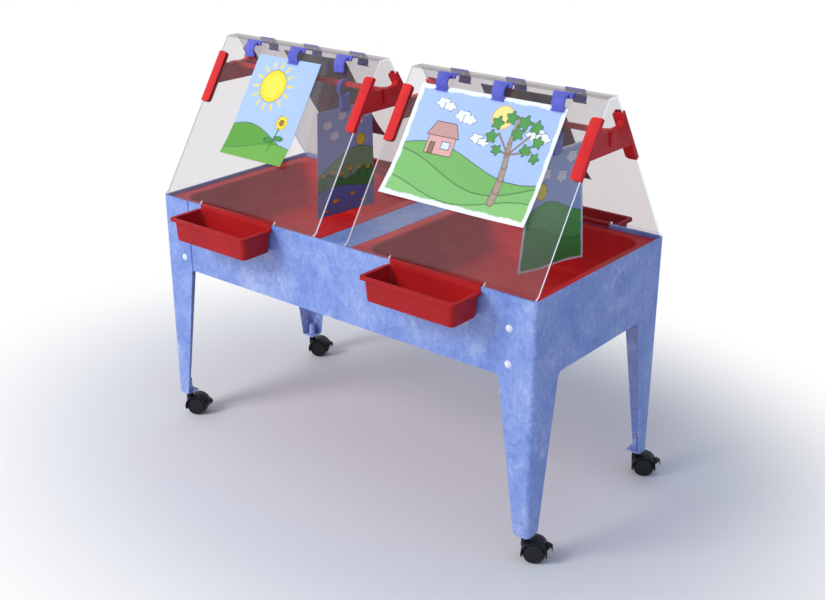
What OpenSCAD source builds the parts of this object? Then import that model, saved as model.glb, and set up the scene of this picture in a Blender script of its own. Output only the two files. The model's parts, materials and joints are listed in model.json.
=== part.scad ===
// Sand and water table: a folded sheet steel frame on four braked twin-wheel casters, two
// lift-out tubs, four hook-on trays, and two clear tent-shaped painting easels with their
// braces, rails, clips and sheets of paper.
// Millimetres, +Z up. The origin is on the floor under the middle of the table, +X runs
// along the table and -Y is its front.

/* [Table] */
// Length over the two end panels
table_l = 1168; // [980:1:1410]
// Width over the front and rear leg flanges
table_w = 533; // [450:1:640]
// Height of the table's rim above the floor
table_h = 635; // [530:1:765]
// Height of the aprons and end panels
apron_h = 190; // [165:1:230]
// Thickness of the folded sheet
sheet_t = 2; // [1.6:0.1:3]
// Outer radius of the frame's upright bends
corner_r = 12; // [8:1:16]
// Width of a leg flange where it meets the apron
leg_top_w = 93; // [78:1:112]
// Width of a leg flange at the foot
leg_foot_w = 40; // [36:1:50]
// Thickness of the rolled rim along the top edge
rim_t = 5.5; // [4.5:0.1:7]
// Depth of the ledge that carries the tubs, below the rim
ledge_drop = 12; // [10:0.5:16]
// Width of that ledge, in from the rim
ledge_w = 20; // [16:1:26]
// Width of the bare strip between the tubs' flanges
strip_w = 100; // [80:1:130]

/* [Bolts] */
// Diameter of the leg bolts
bolt_d = 8; // [6:0.5:10]
// Diameter of their domed heads
bolt_head_d = 18; // [15:0.5:21]
// Distance of the bolts from the end of the table
bolt_inset = 68; // [56:1:75]
// Depth of the upper bolt below the rim
bolt_top_drop = 75; // [60:1:90]
// Spacing of the two bolts of one leg
bolt_pitch = 83; // [60:1:88]

/* [Tubs] */
// Depth inside a tub
tub_depth = 120; // [90:1:150]
// Wall of a tub
tub_wall = 3.5; // [2.5:0.1:5]
// Corner radius of a tub's opening
tub_corner_r = 45; // [30:1:60]
// Lean of a tub's walls, over its whole depth
tub_draft = 16; // [8:1:24]

/* [Trays] */
// Length over a tray's rim
tray_l = 266; // [210:1:320]
// Width over a tray's rim, out from the apron
tray_w = 102; // [80:1:122]
// Height of a tray
tray_h = 60; // [45:1:72]
// Wall of a tray and of its hook
tray_wall = 2.4; // [2:0.1:3]
// Depth of a tray's rim below the table's rim
tray_drop = 9; // [7:0.5:12]
// Width of a tray's turned-down rim
tray_lip = 8; // [6:0.5:10]

/* [Easels] */
// Length of a clear easel sheet
easel_l = 528; // [500:1:560]
// Height of the ridge above the table's rim
easel_h = 378; // [320:1:440]
// Width of the flat ridge
ridge_w = 36; // [30:1:44]
// Thickness of the clear sheet
easel_t = 4.5; // [3.5:0.1:6]
// Length of the turned-out foot
foot_l = 12; // [10:0.5:14]
// Fall of the foot, from level
foot_fall = 30; // [20:1:40]

/* [Braces] */
// Length of an edge channel on the sheet
brace_l = 140; // [115:1:160]
// Distance of an edge channel from the ridge
brace_top = 45; // [40:1:60]
// Width of an edge channel's flanges
brace_w = 24; // [18:1:28]
// Wall of the brace
brace_t = 3; // [2.4:0.1:4]
// Height of the cross plate's top above the table's rim
plate_z = 307; // [290:1:315]
// Height of the cross plate
plate_h = 48; // [38:1:56]
// Height of the rail
rail_h = 12; // [9:0.5:14]
// Width of the rail
rail_w = 10; // [8:0.5:12]

/* [Clips and paper] */
// Spacing of the three clips along a ridge
clip_pitch = 156; // [130:1:185]
// Width of a clip's jaw
clip_w = 32; // [26:1:38]
// Width of a clip's head
clip_head_w = 50; // [44:1:60]
// Short side of a sheet of paper
paper_w = 214; // [180:1:220]
// Long side of a sheet of paper
paper_l = 274; // [230:1:280]
// Length of the large sheet
poster_l = 396; // [330:1:420]
// Thickness of the paper
paper_t = 0.8; // [0.6:0.1:1.2]
// Width of a sheet that hangs from the rail
hang_w = 190; // [160:1:192]

/* [Casters] */
// Diameter of a caster's wheels
wheel_d = 50; // [42:1:56]
// Width of one wheel
wheel_w = 16; // [12:0.5:17]
// Offset of the wheels from the swivel axis
trail = 22; // [18:0.5:25]
// Diameter of the swivel stem
stem_d = 11; // [9:0.5:13]
// Distance of the stem from the leg's two outer faces
stem_inset = 20; // [18:0.5:24]
// Direction in which all the casters trail at rest, from +X
caster_turn = 30; // [0:1:360]
// Diameter of a wheel axle
axle_d = 6; // [5:0.5:8]

/* [Hidden] */
$fn = 48;
eps = 0.01;

// clearances
run_gap = 0.05;     // round running fits, on the radius
bolt_gap = 0.2;     // bolt holes, on the radius
face_gap = 0.3;     // faces that slide past or hook over each other
press_gap = 0.2;    // faces of pieces that stay put on each other

// frame
half_l = table_l / 2;
half_w = table_w / 2;
apron_z = table_h - apron_h;
ledge_z = table_h - ledge_drop;
apron_y = half_w - sheet_t;             // outer face of an apron
rim_y = apron_y - rim_t;                // inner face of an apron's rim
rim_x = half_l - rim_t;                 // inner face of an end panel's rim
ledge_y = rim_y - ledge_w;
ledge_x = rim_x - ledge_w;
apron_end = half_l - corner_r - 1;      // the aprons stop short of the bends
divider_half = strip_w / 2 + ledge_w;
divider_skirt = 26;
strip_z = ledge_z + tub_wall - 0.3;     // the strip is level with the tubs' flanges
rivet_d = 5;

// caster stack: hood, collar, then the bracket in the foot of the leg
hood_gap = 1.6;
hood_t = 3.4;
hood_r = wheel_d / 2 + hood_gap;
hood_top = wheel_d / 2 + hood_r + hood_t;
boss_h = 5;
collar_h = 5.2;
foot_z = hood_top + boss_h + collar_h + 0.6;
bracket_t = 3;
bracket_w = leg_foot_w - 4;
socket_h = 34;
socket_r = stem_d / 2 + 3.5;
tab_h = 46;
web_half = 4;                           // half the hood's middle web
wheel_gap = 0.8;                        // between the web and a wheel

// tub: its flange drops inside the rim and rests on the ledges
flange_t = tub_wall;
seat_z = ledge_z + 3 * eps;             // underside of the flange, a hair above the ledges
tub_gap_y = face_gap + tray_wall + 0.8; // leaves the trays' hooks their room
tub_gap_x = 1.5;
flange_x0 = strip_w / 2;
flange_x1 = rim_x - tub_gap_x;
flange_y = rim_y - tub_gap_y;
body_x0 = divider_half + 2;
body_x1 = ledge_x - 2;
body_y = ledge_y - 2;
tub_x = (flange_x0 + flange_x1) / 2;

// easel, in its own middle plane: the panels lean from the foot bend to the ridge
ridge_z = table_h + easel_h;
tip_y = apron_y - 1.5;                  // the foot's lower edge stands on the rim
bend_y = tip_y - foot_l * cos(foot_fall) + easel_t * sin(foot_fall);
bend_z = table_h + press_gap + easel_t * cos(foot_fall) + foot_l * sin(foot_fall);
lean = atan2(ridge_z - bend_z, bend_y - ridge_w / 2);
easel_x = tub_x;
notch_l = tray_l - 2 * tray_lip + 12;   // the foot is cut away over a tray's hook

// brace and rail
edge_x = easel_l / 2;
brace_x = edge_x + press_gap + brace_t; // outer face of a brace
plate_t = 4;
shelf_w = 16;
plate_top = table_h + plate_z;
plate_bot = plate_top - plate_h;
rail_z = plate_top - 11;                // underside of the rail, in the plate's notch
rail_tab_w = 20;
tab_drop = 34;

// clips
jaw_v = 39;
head_v0 = 2;
paper_v = 35;
hang_x = 132;
hang_top = rail_z - 52;
hook_r = 19;
hook_t = 4.5;
hook_z = rail_z + rail_h + 1 - hook_r;

RED = "firebrick";
BLUE = "cornflowerblue";
CLIP_BLUE = "slateblue";
BLACK = [0.1, 0.1, 0.11];

CORNERS = ["fl", "fr", "rl", "rr"];
function sx(c) = c[1] == "l" ? -1 : 1;
function sy(c) = c[0] == "f" ? -1 : 1;

// ---------- shared shapes ----------

// A box from one corner to the opposite one.
module span(a, b) {
    translate(a) cube(b - a);
}

// A rectangle centred on the origin with round corners.
module round_rect(l, w, r) {
    square([l - 2 * r, w], center = true);
    square([l, w - 2 * r], center = true);
    for (x = [-1, 1])
        for (y = [-1, 1])
            translate([x * (l / 2 - r), y * (w / 2 - r)]) circle(r = r);
}

// Extrudes an outline given in Y and Z from x0 to x1.
module along_x(x0, x1) {
    translate([x0, 0, 0]) rotate([90, 0, 90]) linear_extrude(x1 - x0) children();
}

// Extrudes an outline given in X and Z from y0 to y1.
module along_y(y0, y1) {
    translate([0, y1, 0]) rotate([90, 0, 0]) linear_extrude(y1 - y0) children();
}

// Points of an arc about a centre.
function arc(c, r, a0, a1, n) =
    [for (i = [0:n]) let (a = a0 + (a1 - a0) * i / n) [c[0] + r * cos(a), c[1] + r * sin(a)]];

// The solid that a basin's inside or outside fills: a round-cornered mouth of size l by w
// at z = 0, narrowing by the draft to a floor at -depth with rounded bottom edges.
module basin_solid(l, w, depth, r, draft, floor_r) {
    hull()
        for (x = [-1, 1])
            for (y = [-1, 1]) {
                translate([x * (l / 2 - r), y * (w / 2 - r), -1]) cylinder(r = r, h = 1, $fn = 32);
                translate([x * (l / 2 - draft - r), y * (w / 2 - draft - r), -depth])
                    translate([0, 0, floor_r]) {
                        cylinder(r = r, h = eps, $fn = 32);
                        translate([0, 0, -floor_r]) cylinder(r = max(r - floor_r, 1), h = eps, $fn = 32);
                        translate([0, 0, -0.7 * floor_r])
                            cylinder(r = max(r - 0.29 * floor_r, 1), h = eps, $fn = 32);
                    }
            }
}

// ---------- frame ----------

// Outline, in Y and Z, of what is cut out below an end panel, between its legs.
module between_legs() {
    top = half_w - leg_top_w;
    foot = half_w - leg_foot_w;
    r = 14;
    polygon(concat(
        [[foot + 5, foot_z - 1], [foot + 5, foot_z], [foot, foot_z + 5]],
        arc([top - r, apron_z - r], r, 0, 90, 6),
        arc([r - top, apron_z - r], r, 90, 180, 6),
        [[-foot, foot_z + 5], [-foot - 5, foot_z], [-foot - 5, foot_z - 1]]));
}

// Outline, in X and Z, of what is cut off the inner side of the right-hand legs.
module beside_leg() {
    top = half_l - leg_top_w;
    foot = half_l - leg_foot_w;
    polygon([[top - 1, foot_z - 1], [foot + 5, foot_z - 1], [foot + 5, foot_z],
        [foot, foot_z + 5], [top, apron_z], [top - 1, apron_z]]);
}

// One bolt position per leg flange and height, at the outer face of the flange.
module at_bolts(side) {
    for (x = side)
        for (y = [-1, 1])
            for (i = [0, 1])
                translate([x * (half_l - bolt_inset), y * half_w,
                    table_h - bolt_top_drop - i * bolt_pitch])
                    rotate([-90 * y, 0, 0]) children();
}

// The right-hand end: a panel, two leg flanges folded back, a rolled rim and the ledge.
module end_frame() {
    ledge_half = ledge_y - 1;
    difference() {
        union() {
            translate([0, 0, foot_z])
                linear_extrude(table_h - foot_z)
                    difference() {
                        intersection() {
                            round_rect(table_l, table_w, corner_r);
                            translate([half_l - leg_top_w, -half_w]) square([leg_top_w, table_w]);
                        }
                        round_rect(table_l - 2 * sheet_t, table_w - 2 * sheet_t,
                            corner_r - sheet_t);
                    }
            // rolled rim
            translate([0, 0, ledge_z])
                linear_extrude(table_h - ledge_z)
                    difference() {
                        intersection() {
                            round_rect(table_l - 1, table_w - 1, corner_r - 0.5);
                            translate([apron_end + 0.5, -half_w]) square([half_l, table_w]);
                        }
                        round_rect(2 * rim_x, 2 * rim_y, corner_r - rim_t);
                    }
            span([ledge_x, -ledge_half, ledge_z - sheet_t],
                [half_l - 1, ledge_half, ledge_z + eps]);
        }
        along_x(half_l - sheet_t - corner_r, half_l + 1) between_legs();
        along_y(-half_w - 1, half_w + 1) beside_leg();
        at_bolts([1]) translate([0, 0, -3 * sheet_t])
            cylinder(d = bolt_d + 2 * bolt_gap, h = 4 * sheet_t);
        at_bracket_rivets(["fr", "rr"]) translate([0, 0, -3 * sheet_t])
            cylinder(d = rivet_d + 2 * bolt_gap, h = 4 * sheet_t);
    }
}

module left_end_frame() {
    color(BLUE) mirror([1, 0, 0]) end_frame();
}

module right_end_frame() {
    color(BLUE) end_frame();
}

// The front apron: web, rolled rim and ledge from one sheet, with a lip along its lower edge.
module apron() {
    difference() {
        along_x(-apron_end, apron_end)
            polygon([
                [-apron_y, apron_z], [-apron_y + 14, apron_z],
                [-apron_y + 14, apron_z + sheet_t], [-apron_y + sheet_t, apron_z + sheet_t],
                [-apron_y + sheet_t, ledge_z - sheet_t], [-ledge_y, ledge_z - sheet_t],
                [-ledge_y, ledge_z], [-rim_y, ledge_z],
                [-rim_y, table_h - 1], [-rim_y - 1, table_h],
                [-apron_y + 1, table_h], [-apron_y, table_h - 1]]);
        at_bolts([-1, 1]) translate([0, 0, -3 * sheet_t])
            cylinder(d = bolt_d + 2 * bolt_gap, h = 4 * sheet_t);
        at_divider_rivets() translate([0, 0, -4 * sheet_t])
            cylinder(d = rivet_d + 2 * bolt_gap, h = 6 * sheet_t);
    }
}

module front_apron() {
    color(BLUE) apron();
}

module rear_apron() {
    color(BLUE) mirror([0, 1, 0]) apron();
}

// A channel between the ledges, and the bare strip on top of it that spans the whole table.
module centre_divider() {
    color(BLUE)
        difference() {
            union() {
                span([1.5 - strip_w / 2, 0.5 - rim_y, ledge_z],
                    [strip_w / 2 - 1.5, rim_y - 0.5, strip_z]);
                span([-divider_half, -ledge_y + 0.5, ledge_z - sheet_t],
                    [divider_half, ledge_y - 0.5, ledge_z + eps]);
                for (x = [0, 1])
                    mirror([x, 0, 0])
                        span([divider_half - sheet_t, -ledge_y + 0.5, ledge_z - divider_skirt],
                            [divider_half, ledge_y - 0.5, ledge_z]);
            }
            at_divider_rivets() translate([0, 0, -8])
                cylinder(d = rivet_d + 2 * bolt_gap, h = 16);
        }
}

// ---------- fasteners ----------

module at_divider_rivets() {
    for (x = [-1, 1])
        for (y = [-1, 1])
            translate([x * strip_w / 4, y * (ledge_y + ledge_w / 2), strip_z]) children();
}

// A domed head with its flat side at z = 0.
module dome(d, h) {
    r = (d * d / 4 + h * h) / (2 * h);
    intersection() {
        translate([0, 0, h - r]) sphere(r = r);
        translate([0, 0, 0]) cylinder(d = d + 1, h = h + 1);
    }
}

module leg_bolts() {
    color("gainsboro")
        at_bolts([-1, 1]) {
            dome(bolt_head_d, 4.5);
            translate([0, 0, -16]) cylinder(d = bolt_d, h = 16 + eps);
        }
}

module leg_nuts() {
    color("silver")
        at_bolts([-1, 1])
            translate([0, 0, -2 * sheet_t - 7])
                difference() {
                    cylinder(d = bolt_d * 1.8, h = 6.5, $fn = 6);
                    translate([0, 0, -1]) cylinder(r = bolt_d / 2 + run_gap, h = 9);
                }
}

// A rivet through two sheets of the given thickness, with a dome at each end.
module rivet(grip) {
    dome(2 * rivet_d, 2.4);
    translate([0, 0, -grip - 1]) cylinder(d = rivet_d, h = grip + 1 + eps);
    translate([0, 0, -grip]) mirror([0, 0, 1]) dome(1.6 * rivet_d, 1.8);
}

// Flush on top, headed underneath.
module divider_rivets() {
    grip = strip_z - ledge_z + sheet_t;
    color("silver")
        at_divider_rivets() {
            translate([0, 0, -grip - 1]) cylinder(d = rivet_d, h = grip + 1);
            translate([0, 0, -grip]) mirror([0, 0, 1]) dome(1.6 * rivet_d, 1.8);
        }
}

// Rivet positions on both outer faces of each leg's foot, axis pointing outwards.
module at_bracket_rivets(corners) {
    z = foot_z + 38;
    for (c = corners) {
        translate([sx(c) * (half_l - stem_inset - 3), sy(c) * half_w, z])
            rotate([-90 * sy(c), 0, 0]) children();
        translate([sx(c) * half_l, sy(c) * (half_w - stem_inset - 3), z])
            rotate([0, 90 * sx(c), 0]) children();
    }
}

module bracket_rivets() {
    color(BLUE) at_bracket_rivets(CORNERS) rivet(sheet_t + bracket_t);
}

// ---------- casters ----------

// Moves to a corner's swivel axis.
module at_stem(c) {
    translate([sx(c) * (half_l - stem_inset), sy(c) * (half_w - stem_inset), 0]) children();
}

// A caster's own frame: x along its trail, y along its axle, at rest.
module at_caster(c) {
    at_stem(c) rotate([0, 0, caster_turn]) children();
}

// Foot plate with two upturned tabs and a socket for the stem.
module caster_bracket(c) {
    color(BLUE)
        difference() {
            union() {
                mirror([sx(c) < 0 ? 1 : 0, 0, 0])
                    mirror([0, sy(c) < 0 ? 1 : 0, 0]) {
                        x1 = half_l - sheet_t;
                        y1 = half_w - sheet_t;
                        in = corner_r - sheet_t;
                        span([x1 - bracket_w, y1 - bracket_w, foot_z],
                            [x1 - in, y1, foot_z + bracket_t]);
                        span([x1 - bracket_w, y1 - bracket_w, foot_z],
                            [x1, y1 - in, foot_z + bracket_t]);
                        span([x1 - bracket_w + 8, y1 - bracket_t, foot_z],
                            [x1 - in, y1, foot_z + bracket_t + tab_h]);
                        span([x1 - bracket_t, y1 - bracket_w + 8, foot_z],
                            [x1, y1 - in, foot_z + bracket_t + tab_h]);
                    }
                at_stem(c) translate([0, 0, foot_z]) cylinder(r = socket_r, h = socket_h);
            }
            at_stem(c) translate([0, 0, foot_z - 1])
                cylinder(r = stem_d / 2 + run_gap, h = socket_h + 2);
            at_bracket_rivets([c]) translate([0, 0, -4 * bracket_t])
                cylinder(d = rivet_d + 2 * bolt_gap, h = 6 * bracket_t);
        }
}

module caster_bracket_fl() { caster_bracket("fl"); }
module caster_bracket_fr() { caster_bracket("fr"); }
module caster_bracket_rl() { caster_bracket("rl"); }
module caster_bracket_rr() { caster_bracket("rr"); }

// Steel stem with its collar; the lower end is moulded into the hood.
module caster_stem(c) {
    z0 = foot_z - 0.6 - collar_h;
    color("silver")
        at_stem(c) {
            translate([0, 0, z0]) cylinder(d = stem_d + 9, h = collar_h);
            translate([0, 0, z0 - 12]) cylinder(d = stem_d - 2, h = 12 + eps);
            translate([0, 0, z0]) cylinder(d = stem_d, h = foot_z - z0 + socket_h + 2);
            translate([0, 0, foot_z + socket_h + 2 - eps])
                cylinder(d1 = stem_d, d2 = stem_d - 4, h = 3);
        }
}

module caster_stem_fl() { caster_stem("fl"); }
module caster_stem_fr() { caster_stem("fr"); }
module caster_stem_rl() { caster_stem("rl"); }
module caster_stem_rr() { caster_stem("rr"); }

lever_a = 24;                                   // place of the lever's pivot on the hood
lever_r = hood_r + hood_t + 4.2;                // distance of that pivot from the axle
lever_w = 16;
pivot_d = 3;

// Moves from a caster's frame to its wheel centre.
module at_wheel() {
    translate([trail, 0, wheel_d / 2]) children();
}

// Moves from the wheel centre to the lever's pivot.
module at_lever() {
    translate([lever_r * cos(lever_a), 0, lever_r * sin(lever_a)]) children();
}

// Hood: an arched fender over both wheels, a middle web, the stem's boss and two lugs that
// hold the lever's pin.
module caster_hood(c) {
    half = web_half + wheel_gap + wheel_w + 0.6;
    boss_r = stem_d / 2 + 3.5;
    color(BLACK)
        at_caster(c)
            difference() {
                union() {
                    at_wheel() rotate([90, 0, 0]) {
                        translate([0, 0, -half])
                            linear_extrude(2 * half)
                                difference() {
                                    circle(r = hood_r + hood_t);
                                    circle(r = hood_r);
                                    polygon([[0, -6], [60, -6], [60, -60], [-60, -60], [-60, -8], [0, -8]]);
                                }
                        translate([0, 0, -web_half])
                            linear_extrude(2 * web_half)
                                difference() {
                                    circle(r = hood_r + 1);
                                    translate([-40, -60]) square([80, 60 - axle_d - 3]);
                                }
                    }
                    translate([0, 0, wheel_d / 2 - 4])
                        cylinder(r = web_half + 2.5, h = hood_top - wheel_d / 2 + boss_h + 4);
                    translate([0, 0, wheel_d / 2 + 11])
                        cylinder(r = boss_r, h = hood_top + boss_h - wheel_d / 2 - 11);
                    at_wheel() at_lever() rotate([90, 0, 0])
                        for (s = [-1, 1])
                            translate([0, 0, s * (lever_w / 2 + 2) - 1.5]) {
                                cylinder(d = pivot_d + 4, h = 3);
                                rotate([0, 0, lever_a]) translate([-7, -3, 0]) cube([7, 6, 3]);
                            }
                    at_wheel() at_lever() rotate([90, 0, 0])
                        translate([0, 0, -lever_w / 2 - 2]) cylinder(d = pivot_d, h = lever_w + 4);
                }
                // room for the wheels on both sides of the web
                at_wheel() rotate([90, 0, 0])
                    for (s = [-1, 1])
                        translate([0, 0, s > 0 ? web_half : -web_half - wheel_w - 20])
                            cylinder(r = wheel_d / 2 + 1, h = wheel_w + 20);
                at_wheel() rotate([90, 0, 0])
                    translate([0, 0, -20]) cylinder(d = axle_d, h = 40);
                // bore for the stem's lower end
                translate([0, 0, foot_z - 0.6 - collar_h - 12])
                    cylinder(d = stem_d - 2, h = 30);
            }
}

module caster_hood_fl() { caster_hood("fl"); }
module caster_hood_fr() { caster_hood("fr"); }
module caster_hood_rl() { caster_hood("rl"); }
module caster_hood_rr() { caster_hood("rr"); }

module caster_axle(c) {
    len = 2 * (web_half + wheel_gap + wheel_w) - 3;
    color("silver")
        at_caster(c) at_wheel() rotate([90, 0, 0])
            translate([0, 0, -len / 2]) cylinder(d = axle_d, h = len);
}

module caster_axle_fl() { caster_axle("fl"); }
module caster_axle_fr() { caster_axle("fr"); }
module caster_axle_rl() { caster_axle("rl"); }
module caster_axle_rr() { caster_axle("rr"); }

// One wheel: a blind disc with a rounded tread edge and a shallow recess on its face.
module caster_wheel(c, s) {
    r = wheel_d / 2;
    bore = axle_d / 2 + run_gap;
    color(BLACK)
        at_caster(c) at_wheel() rotate([90 * s, 0, 0])
            translate([0, 0, web_half + wheel_gap])
                rotate_extrude()
                    polygon([[bore, 0], [r - 1.5, 0], [r, 1.5], [r, wheel_w - 3], [r - 3, wheel_w],
                        [r - 5, wheel_w], [r - 6, wheel_w - 1.5], [0, wheel_w - 0.6],
                        [0, wheel_w - 1.2], [bore, wheel_w - 1.2]]);
}

module near_wheel_fl() { caster_wheel("fl", 1); }
module near_wheel_fr() { caster_wheel("fr", 1); }
module near_wheel_rl() { caster_wheel("rl", 1); }
module near_wheel_rr() { caster_wheel("rr", 1); }
module far_wheel_fl() { caster_wheel("fl", -1); }
module far_wheel_fr() { caster_wheel("fr", -1); }
module far_wheel_rl() { caster_wheel("rl", -1); }
module far_wheel_rr() { caster_wheel("rr", -1); }

// Brake lever: a barrel on the hood's pin and a pedal with a turned-down tip.
module brake_lever(c) {
    color(BLACK)
        at_caster(c) at_wheel() at_lever()
            difference() {
                union() {
                    translate([0, lever_w / 2, 0]) rotate([90, 0, 0])
                        cylinder(d = pivot_d + 4, h = lever_w);
                    translate([0, lever_w / 2, 0]) rotate([90, 0, 0])
                        linear_extrude(lever_w)
                            polygon([[1.8, 2.8], [6.2, 2.8], [9.4, 0.4], [10.4, -7.6],
                                [8, -7.9], [7.2, -1.4], [5.4, -0.3], [2.4, -0.4]]);
                }
                translate([0, lever_w, 0]) rotate([90, 0, 0])
                    cylinder(r = pivot_d / 2 + run_gap, h = 2 * lever_w);
            }
}

module brake_lever_fl() { brake_lever("fl"); }
module brake_lever_fr() { brake_lever("fr"); }
module brake_lever_rl() { brake_lever("rl"); }
module brake_lever_rr() { brake_lever("rr"); }

// ---------- tubs and trays ----------

module tub() {
    cx = (body_x0 + body_x1) / 2;
    l = body_x1 - body_x0;
    w = 2 * body_y;
    color(RED)
        difference() {
            union() {
                translate([(flange_x0 + flange_x1) / 2, 0, seat_z])
                    linear_extrude(flange_t)
                        round_rect(flange_x1 - flange_x0, 2 * flange_y, 8);
                translate([cx, 0, ledge_z + 1])
                    basin_solid(l, w, tub_depth - flange_t + tub_wall + 1,
                        tub_corner_r + tub_wall, tub_draft, 18);
            }
            translate([cx, 0, ledge_z + flange_t + 1])
                basin_solid(l - 2 * tub_wall, w - 2 * tub_wall, tub_depth + 1,
                    tub_corner_r, tub_draft, 18);
        }
}

module left_tub() {
    mirror([1, 0, 0]) tub();
}

module right_tub() {
    tub();
}

// A front tray about x = 0: a drafted box with a turned-down rim, and a hook over the
// apron's rim.
module tray() {
    top = table_h - tray_drop;
    back = -apron_y - face_gap;
    cy = back - tray_w / 2;
    in_l = tray_l - 2 * tray_lip - 2 * tray_wall;
    in_w = tray_w - tray_lip - 2 * tray_wall;
    in_y = back - tray_wall - in_w / 2;
    hook_l = tray_l - 2 * tray_lip;
    color(RED)
        difference() {
            union() {
                translate([0, cy, top - tray_wall])
                    linear_extrude(tray_wall) round_rect(tray_l, tray_w, 12);
                difference() {
                    translate([0, cy, top - 7]) linear_extrude(7) round_rect(tray_l, tray_w, 12);
                    translate([0, cy, top - 8]) linear_extrude(9)
                        round_rect(tray_l - 2 * tray_wall, tray_w - 2 * tray_wall, 12 - tray_wall);
                }
                translate([0, in_y, top])
                    basin_solid(in_l + 2 * tray_wall, in_w + 2 * tray_wall, tray_h,
                        10 + tray_wall, 3, 5);
                // hook: up the apron's face, over its rim and down inside it
                span([-hook_l / 2, back - tray_wall, top - 6],
                    [hook_l / 2, back, table_h + face_gap + tray_wall]);
                span([-hook_l / 2, back - tray_wall, table_h + face_gap],
                    [hook_l / 2, -rim_y + face_gap + tray_wall, table_h + face_gap + tray_wall]);
                span([-hook_l / 2, -rim_y + face_gap, table_h - 7],
                    [hook_l / 2, -rim_y + face_gap + tray_wall, table_h + face_gap + tray_wall]);
            }
            translate([0, in_y, top + 1])
                basin_solid(in_l, in_w, tray_h + 1 - tray_wall, 10, 3, 5);
            span([-tray_l, back + eps, 0], [tray_l, 0, table_h - 7.5]);
            span([-tray_l, back + eps, 0], [tray_l, -rim_y + face_gap - eps, table_h + face_gap - eps]);
        }
}

module front_left_tray() { translate([-tub_x, 0, 0]) tray(); }
module front_right_tray() { translate([tub_x, 0, 0]) tray(); }
module rear_left_tray() { translate([-tub_x, 0, 0]) mirror([0, 1, 0]) tray(); }
module rear_right_tray() { translate([tub_x, 0, 0]) mirror([0, 1, 0]) tray(); }

// ---------- easels ----------

// Half of the clear sheet's width in Y at a height, measured at a depth below its outer face.
function half_at(z, depth) = ridge_w / 2 + (ridge_z - z) / tan(lean) - depth / sin(lean);

// Moves to the outer face of the front panel: x along the ridge, -y down the panel and
// +z out of it.
module on_front_panel() {
    translate([0, -ridge_w / 2, ridge_z]) rotate([lean, 0, 0]) children();
}

// The same on either panel: -1 is the front and 1 the rear.
module on_panel(side) {
    mirror([0, side > 0 ? 1 : 0, 0]) on_front_panel() children();
}

function flip(pts) = [for (i = [len(pts) - 1:-1:0]) [-pts[i][0], pts[i][1]]];

// Outline of the bent sheet in Y and Z.
module sheet_outline() {
    mitre = easel_t * tan((lean - foot_fall) / 2);
    in_bend = [-bend_y + easel_t * sin(lean) - mitre * cos(lean),
        bend_z - easel_t * cos(lean) - mitre * sin(lean)];
    tip = [-bend_y - foot_l * cos(foot_fall), bend_z - foot_l * sin(foot_fall)];
    half = [
        [-ridge_w / 2 + easel_t * tan(lean / 2), ridge_z - easel_t],
        in_bend,
        [tip[0] + easel_t * sin(foot_fall), tip[1] - easel_t * cos(foot_fall)],
        tip,
        [-bend_y, bend_z],
        [-ridge_w / 2, ridge_z]];
    polygon(concat(half, flip(half)));
}

// Slot in a panel for a clip's tongue.
slot_v = 9;
slot_h = 5;
slot_l = 26;

module easel_sheet() {
    color("lightcyan", 0.35)
        difference() {
            along_x(-edge_x, edge_x) sheet_outline();
            for (side = [-1, 1]) {
                for (i = [-1:1])
                    on_panel(side) translate([i * clip_pitch, -slot_v, -easel_t / 2])
                        cube([slot_l, slot_h, 2 * easel_t], center = true);
                // the foot is cut away over the tray's hook
                translate([0, side * (bend_y + 20.6), bend_z - 10])
                    cube([notch_l, 40, 40], center = true);
            }
        }
}

module left_easel_sheet() { translate([-easel_x, 0, 0]) easel_sheet(); }
module right_easel_sheet() { translate([easel_x, 0, 0]) easel_sheet(); }

// Top edge of the cross plate's front half, in Y and Z, from the panel inwards.
plate_rise = 12;
plate_mid = easel_t + press_gap + brace_t / 2;
function plate_edge(drop) = let (y0 = half_at(plate_top + plate_rise, plate_mid))
    concat(
        [for (p = [[0, 1], [3, 1], [5.5, 0.55], [9, 0.25], [13.5, 0.08], [19, 0]])
            [p[0] - y0, plate_top + plate_rise * p[1] - drop]],
        [[-rail_tab_w / 2 - press_gap, plate_top - drop]]);

// A channel's flange: a strip down the panel with its two inner corners rounded.
module flange_strip() {
    r = 9;
    w = brace_x - edge_x + brace_w;
    low = -brace_top - brace_l;
    translate([brace_x - w + r, low]) square([w - r, brace_l]);
    translate([brace_x - w, low + r]) square([r + 1, brace_l - 2 * r]);
    for (v = [low + r, -brace_top - r])
        translate([brace_x - w + r, v]) circle(r = r);
}

// Brace for the end of an easel at +edge_x: two edge channels joined by a cross plate with a
// shelf along its top and a notch for the rail.
module brace() {
    notch = [[-rail_tab_w / 2 - press_gap, rail_z], [rail_tab_w / 2 + press_gap, rail_z]];
    foot = half_at(plate_bot, plate_mid);
    color(RED)
        union() {
            for (side = [-1, 1])
                on_panel(side) {
                    translate([0, 0, press_gap]) linear_extrude(brace_t) flange_strip();
                    translate([0, 0, -easel_t - press_gap - brace_t])
                        linear_extrude(brace_t) flange_strip();
                    span([edge_x + press_gap, -brace_top - brace_l, -easel_t - press_gap - brace_t],
                        [brace_x, -brace_top, press_gap + brace_t]);
                }
            along_x(brace_x - plate_t, brace_x - 0.5)
                polygon(concat([[-foot, plate_bot]], plate_edge(0), notch, flip(plate_edge(0)),
                    [[foot, plate_bot]]));
            for (side = [0, 1])
                mirror([0, side, 0])
                    along_x(brace_x - shelf_w, brace_x - plate_t + 1)
                        polygon(concat(plate_edge(0),
                            [for (p = flip(plate_edge(brace_t))) [-p[0], p[1]]]));
        }
}

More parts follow.
